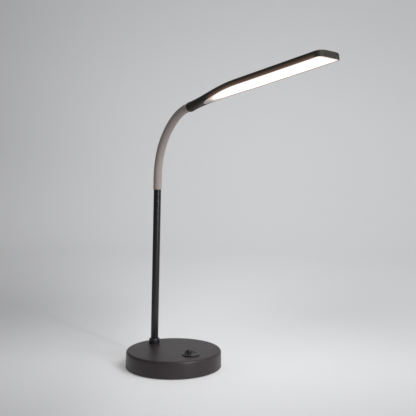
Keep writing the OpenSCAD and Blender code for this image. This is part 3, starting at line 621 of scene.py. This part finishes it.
for k, corner in enumerate(bends):
    first, last = k == 0, k == len(bends) - 1
    into = SLEEVE_FOOT_LEN if first else half_link
    out = SLEEVE_TOP_LEN + INTO_STEM if last else half_link
    points, heading = bend_path(corner, ways[k], ways[k + 1], into, out)
    radius = np.full(len(points), SLEEVE_R)
    nodes = ["sleeve_top"] if last else [f"sleeve_link_{k + 1}"]
    if first:
        nodes.insert(0, "sleeve_foot")
        height, inset = np.array(FOOT_EDGE).T * mm
        points = np.concatenate([points[:1] + up * height[:, None], points[1:]])
        heading = np.concatenate([heading[:1]] * len(height) + [heading[1:]])
        radius = np.concatenate([SLEEVE_R - inset, radius[1:]])
    stretch = skin(f"sleeve_{k + 1}", tube_rings(points, heading, radius))
    dress(stretch, None, "grey_sleeve", *nodes)
    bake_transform(stretch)

# %% [markdown]
# ## The head
# The head starts as a round stem and grows into a flat panel with a rounded end. Three curves along
# its length describe it: half its width, the height of its underside and the height of its upper
# side. Between them each section is a superellipse, a curve that is an ellipse when its exponent is
# 2 and comes close to a rectangle when the exponent is large, so the exponent grows along the head.
# The underside has a slot for the diffuser, and above the slot lies the chamber for the light board.

# %% Curves along the head
def ease(t):
    """A soft step from 0 to 1: three times the square less twice the cube."""
    t = np.clip(t, 0, 1)
    return t * t * (3 - 2 * t)


def half_width(x, inset=0.0):
    """Half the head's width at x: a rounded lip, the round stem, a soft step up to the panel's
    width and a quarter circle at the tip. inset moves all of it inwards."""
    lip = LIP_R + (STEM_R - LIP_R) * np.sqrt(np.maximum(1 - (1 - np.clip(x / LIP_LEN, 0, 1)) ** 2, 0))
    body = STEM_R + (HALF_W - STEM_R) * ease((x - FLARE_START) / (FLARE_END - FLARE_START)) - inset
    corner = HALF_W - TIP_R + np.sqrt(np.maximum((TIP_R - inset) ** 2 - np.maximum(x - TIP_X, 0) ** 2, 0))
    return np.where(x > TIP_X, corner, np.where(x < LIP_LEN, lip - inset, body))


def grown(x):
    """How far the stem has become a panel at x, fast at first and slower later."""
    return 1 - (1 - np.clip((x - STEM_STRAIGHT) / (RISE_END - STEM_STRAIGHT), 0, 1)) ** 2


def underside(x):
    """Height of the head's lower side: round along the stem, then up to the panel's underside."""
    return np.where(x < STEM_STRAIGHT, -half_width(x), -STEM_R + (PANEL_RISE + STEM_R) * grown(x))


def upperside(x):
    """Height of the head's upper side, in the same way."""
    return np.where(x < STEM_STRAIGHT, half_width(x), STEM_R + (PANEL_TOP - STEM_R) * grown(x))


def squareness(x, most):
    """The section's exponent at x: 2 along the round stem, most along the panel."""
    return 2 + (most - 2) * ease((x - SQUARE_START) / (SQUARE_END - SQUARE_START))


def section(x, a):
    """Sideways place and height of the section at x and angle a: cosine and sine, each raised to 2
    over the exponent with its sign kept, times the half width and the half height."""
    n = np.where(np.sin(a) >= 0, squareness(x, UPPER_SQUARE), squareness(x, LOWER_SQUARE))
    low, high = underside(x), upperside(x)
    c, s = np.cos(a), np.sin(a)
    return (half_width(x) * np.sign(c) * np.abs(c) ** (2 / n),
            (low + high) / 2 + (high - low) / 2 * np.sign(s) * np.abs(s) ** (2 / n))


def slot(x, clear=0.0):
    """Half the width of the diffuser's slot at x, with a rounded narrow end, and a hair's breadth
    where there is no slot."""
    opened = 1 - (1 - np.clip((x - SLOT_START) / SLOT_ROUND, 0, 1)) ** 2
    return np.maximum(half_width(x, RIM_W) * np.sqrt(opened), HAIR) - clear


def slot_edge(x):
    """Angle and height at which the lower half of the section reaches the slot's edge."""
    angle = np.arccos((slot(x) / half_width(x)) ** (squareness(x, LOWER_SQUARE) / 2))
    return angle, section(x, -angle)[1]


def in_head(x, y, z):
    """Places in the head's own frame, in millimetres, as places in the lamp's frame in metres."""
    return head_start + mm * (x[..., None] * head_x + y[..., None] * sideways + z[..., None] * head_z)


# %% Shell of the head
STEM_WALL, PANEL_WALL, LEAST_ROOM = 1.6, 2.2, 0.8


def shell_rings(x, hollow, outside=121, inside=21, wall=14, roof=0.3):
    """Rings of the shell at the places x along the head. Each runs over the outside from one edge
    of the slot to the other and back over the chamber's ceiling where the shell is hollow, or
    straight across the slot where it is solid. The angles crowd at the ends of each quarter of the
    section, which eases in and out. The chamber's roof falls off to the sides as one less the
    place across raised to wall, all raised to roof."""
    x = x[:, None]
    edge, height = slot_edge(x)
    quarter = np.linspace(0, 1, outside // 4 + 1)
    share = np.concatenate([q + 0.5 * (1 - np.cos(np.pi * quarter)) for q in range(2)]) / 2
    top = np.pi * share[None, :] * np.ones_like(x)
    down = edge * 0.5 * (1 - np.cos(np.pi * quarter[1:]))[None, :]
    a = np.concatenate([-down[:, ::-1], top, np.pi + down], 1)
    y, z = section(x, a)
    t = np.linspace(1, -1, inside)[None, :]
    ceiling = np.minimum(upperside(x) - STEM_WALL, PANEL_TOP - PANEL_WALL)
    room = np.maximum(ceiling - height, LEAST_ROOM) * (1 - np.abs(t) ** wall) ** roof
    y = np.concatenate([y, -slot(x) * t], 1)
    z = np.concatenate([z, height + np.where(hollow[:, None], room, 0)], 1)
    return in_head(x + 0 * y, y, z)


lip = LIP_LEN * (1 - np.cos(np.linspace(0, np.pi / 2, 9)))
stem = np.linspace(LIP_LEN + 0.5, SLOT_START, 24)
opening = SLOT_START + SLOT_ROUND * np.linspace(0.03, 1, 25) ** 2
flare = np.linspace(SLOT_START + SLOT_ROUND, FLARE_END, 40)[1:]
straight = np.linspace(FLARE_END, TIP_X, 8)[1:]
corner_in = TIP_X + (TIP_R - RIM_W) * np.sin(np.linspace(0, np.pi / 2, 17))[1:]
# The last rings run from just past the slot's end to just before the tip, where the width is 0.
past_slot, before_tip = np.arcsin((TIP_R - RIM_W + HAIR) / TIP_R), np.radians(89.9)
corner_out = TIP_X + TIP_R * np.sin(np.linspace(past_slot, before_tip, 12))
along_head = np.concatenate([lip, stem, opening, flare, straight, corner_in, corner_out])
is_hollow = (along_head > SLOT_START) & (along_head <= corner_in[-1])
head_shell = skin("head_shell_skin", shell_rings(along_head, is_hollow))
dress(head_shell, "head", "head_plastic", "head_shell")

# %% [markdown]
# ## The diffuser
# An opal plate fills the slot, a hair's breadth clear of it. It follows the underside's own curve,
# so its two faces are the slot's edge height and the same a plate's thickness higher, and the
# corners between face and side are rounded by a superellipse as well.

# %% Diffuser
PLATE_CLEAR, PLATE_T, PLATE_SETBACK = 0.12, 1.4, 0.2


def diffuser_rings(x, around=64, sharp=0.02, blunt=0.6, corner=0.5, edge=0.12):
    """Rings of the plate: a flat superellipse as wide as the slot less the clearance. Sideways its
    power is sharp plus corner over the half width, at most blunt, so that the corners stay as
    round where the plate is narrow. In height it is edge."""
    x = x[:, None]
    a = np.linspace(0, 2 * np.pi, around, endpoint=False)[None, :]
    c, s = np.cos(a), np.sin(a)
    wide = np.maximum(slot(x, PLATE_CLEAR), HAIR)
    power = np.clip(sharp + corner / np.maximum(wide, corner), sharp, blunt)
    height = slot_edge(x)[1] + PLATE_CLEAR + PLATE_T / 2
    y = wide * np.sign(c) * np.abs(c) ** power
    z = height + PLATE_T / 2 * np.sign(s) * np.abs(s) ** edge
    return in_head(x + 0 * y, y, z)


narrow_end = SLOT_START + PLATE_SETBACK + (SLOT_ROUND - PLATE_SETBACK) * np.linspace(0.02, 1, 25) ** 2
plate_tip = TIP_X + (TIP_R - RIM_W - PLATE_CLEAR) * np.sin(np.linspace(0, np.pi / 2, 17))[1:]
plate = np.concatenate([narrow_end, flare, straight, plate_tip])
diffuser = skin("diffuser_skin", diffuser_rings(plate))
dress(diffuser, "head", "diffuser_plastic", "diffuser")

# %% [markdown]
# ## The parts inside
# Everything that stays hidden keeps its solid shape. It still gets its real finish, because the
# lamp can be opened. The record already says which finish each node has, so a table from the
# record's names to the materials made above is all it takes.

# %% Finishes for the solids that stay
for part in frame["record"]["subparts"]:
    solid = frame["nodes"][part["node"]]
    for held in solid.material_slots:
        held.material = finishes[part["material_slot"]]

# %% [markdown]
# ## The studio
# A product is often shot in a cove: a floor that curves up into a wall with no corner, so the eye
# finds no horizon. Here the cove goes all round, which keeps the background plain from every side.
# One side of it is much deeper, like a black card that photographers stand there, so that a round
# part gets a dark edge and looks round; where the backdrop is seen, that deeper paint is painted
# shade, and more painted shade darkens it higher up, to the front and to the sides, with a painted
# shadow just left of the lamp. One big soft lamp hangs opposite, beyond the head's tip, and a tall
# narrow one stands under it and draws the line of light on the tube. The open top lets in an even
# sky. The lit panel does the rest: it draws the highlights on the switch and the rim of the base.

# %% Cove
COVE_R, COVE_ROUND, COVE_TOP, COVE_T = 2200.0, 900.0, 2600.0, 20.0


def level(azimuth):
    """The level direction at an azimuth in degrees from +X."""
    return (np.cos(np.radians(azimuth)), np.sin(np.radians(azimuth)), 0)


# Level directions, named as the camera sees them.
SHY_SIDE, FRONT, ACROSS, LEFT = level(240), level(-42), level(48), level(228)
FLOOR_PALE, FLOOR_DEEP = (0.8, 0.8, 0.8), (0.45, 0.45, 0.455)
WALL_PALE, WALL_DEEP = (0.62, 0.62, 0.625), (0.25, 0.25, 0.255)
# Shares of painted shade to the sides and the front, and the depth of the painted shadow left of the lamp.
SIDE_DIM, FRONT_DIM, LEFT_DIM = 0.18, 0.19, 0.1
cove = turned("cove", [
    (0, 0, 0), (COVE_R, 0, COVE_ROUND), (COVE_R, COVE_TOP, 0),
    (COVE_R + COVE_T, COVE_TOP, 0), (COVE_R + COVE_T, -COVE_T, 0), (0, -COVE_T, 0)],
    segments=96, steps=24)


def cove_paint(place):
    """Pale grey with painted shade: a little deeper higher up, to the front and to both sides, and a
    painted shadow just left of the lamp. It is much deeper on the shy side, which works as a dark card
    for the lamp and is painted shade where the backdrop is seen. What the eye and the reflections see
    of it also glows faintly, which lifts the backdrop but not the lamp."""
    up_high = place.along(up)
    outward = place.node("ShaderNodeVectorMath", {"operation": "NORMALIZE"}, {0: place})
    distance = place.node("ShaderNodeVectorMath", {"operation": "LENGTH"}, {0: place}, "Value")
    # Much deeper on the shy side: a dark card for the lamp, and painted shade on the backdrop that is seen.
    shade = outward.along(SHY_SIDE).between(-0.32, 0.9) * distance.between(0.05, 0.6)
    pale = up_high.between(0.3, 1.5).blend(FLOOR_PALE, WALL_PALE)
    deep = up_high.between(0.0, 0.4).blend(FLOOR_DEEP, WALL_DEEP)
    # Painted shade to both sides and the front, and a painted shadow just left of the lamp.
    aside = abs(outward.along(ACROSS)).between(0.12, 0.75)
    painted_shadow = place.along(LEFT).between(0.02, 0.14) * (1 - distance.between(0.2, 0.6))
    near = place.along(FRONT).between(-0.05, 0.3)
    dim = aside * distance.between(0.1, 0.5) * SIDE_DIM + near * FRONT_DIM + painted_shadow * LEFT_DIM
    paint = dim.blend(shade.blend(pale, deep), (0, 0, 0))
    mottle = place.noise(0.4, 2)
    camera, glossy, through = (place.node("ShaderNodeLightPath", output=f"Is {kind} Ray")
                               for kind in ("Camera", "Glossy", "Transmission"))
    seen = place.math("MAXIMUM", place.math("MAXIMUM", camera, glossy), through)
    return {"Base Color": paint, "Roughness": 0.8 + mottle * 0.1,
            "Emission Color": seen.blend((0, 0, 0), paint)}


finish("cove_paint", cove_paint, Emission_Strength=0.27)
cove.data.materials.append(finishes["cove_paint"])


# %% Lamps and sky
def soft_lamp(name, azimuth, elevation, distance, size, power, aim=(0, 0, 0.15), colour=(1, 1, 1)):
    """A lamp with the width and height in size that looks at aim from a distance, azimuth and
    elevation. Its own axes are the columns of its matrix: x is level, y stands up on it and z points
    away from aim, since a lamp shines along -z."""
    a, e = np.radians([azimuth, elevation])
    way = np.array([np.cos(e) * np.cos(a), np.cos(e) * np.sin(a), np.sin(e)])
    light = bpy.data.lights.new(name, "AREA")
    light.shape, light.size, light.size_y = "RECTANGLE", *size
    light.energy, light.color = power, colour
    lamp = bpy.data.objects.new(name, light)
    bpy.context.scene.collection.objects.link(lamp)
    x = np.cross(up, way) / np.linalg.norm(np.cross(up, way))
    placed = np.eye(4)
    placed[:3, :3] = np.stack([x, np.cross(way, x), way], 1)
    placed[:3, 3] = np.array(aim) + way * distance
    lamp.matrix_world = Matrix(placed.tolist())
    lamp.visible_camera = False


soft_lamp("key_lamp", 15, 52, 2.4, (1.4, 1.4), 26, colour=(0.97, 0.98, 1.0))
soft_lamp("strip_lamp", -4, 0, 1.7, (0.08, 1.0), 9.5, aim=(0, 0, 0.5), colour=(0.9, 0.92, 1.0))

world = bpy.data.worlds.new("studio_sky")
bpy.context.scene.world = world
world.use_nodes = True
sky = next(n for n in world.node_tree.nodes if n.type == "BACKGROUND")
sky.inputs["Color"].default_value = (1, 1, 1, 1)
sky.inputs["Strength"].default_value = 0.36

# %% Camera
# Sensor and lens in millimetres, shifts in shares of the sensor's width, the place in metres.
camera_data = bpy.data.cameras.new("camera")
camera_data.sensor_width, camera_data.lens = 36, 58.344
camera_data.shift_x, camera_data.shift_y = -0.09615, -0.08173
camera = bpy.data.objects.new("camera", camera_data)
bpy.context.scene.collection.objects.link(camera)
camera.location = (0.6986, -0.5561, 0.2558)
camera.rotation_euler = np.radians([89.928, -1.162, 45.5155])
bpy.context.scene.camera = camera
bpy.context.scene.view_settings.view_transform = "Standard"

# %% [markdown]
# ## The end
# The view layer is brought up to date once more.

# %% End
bpy.context.view_layer.update()
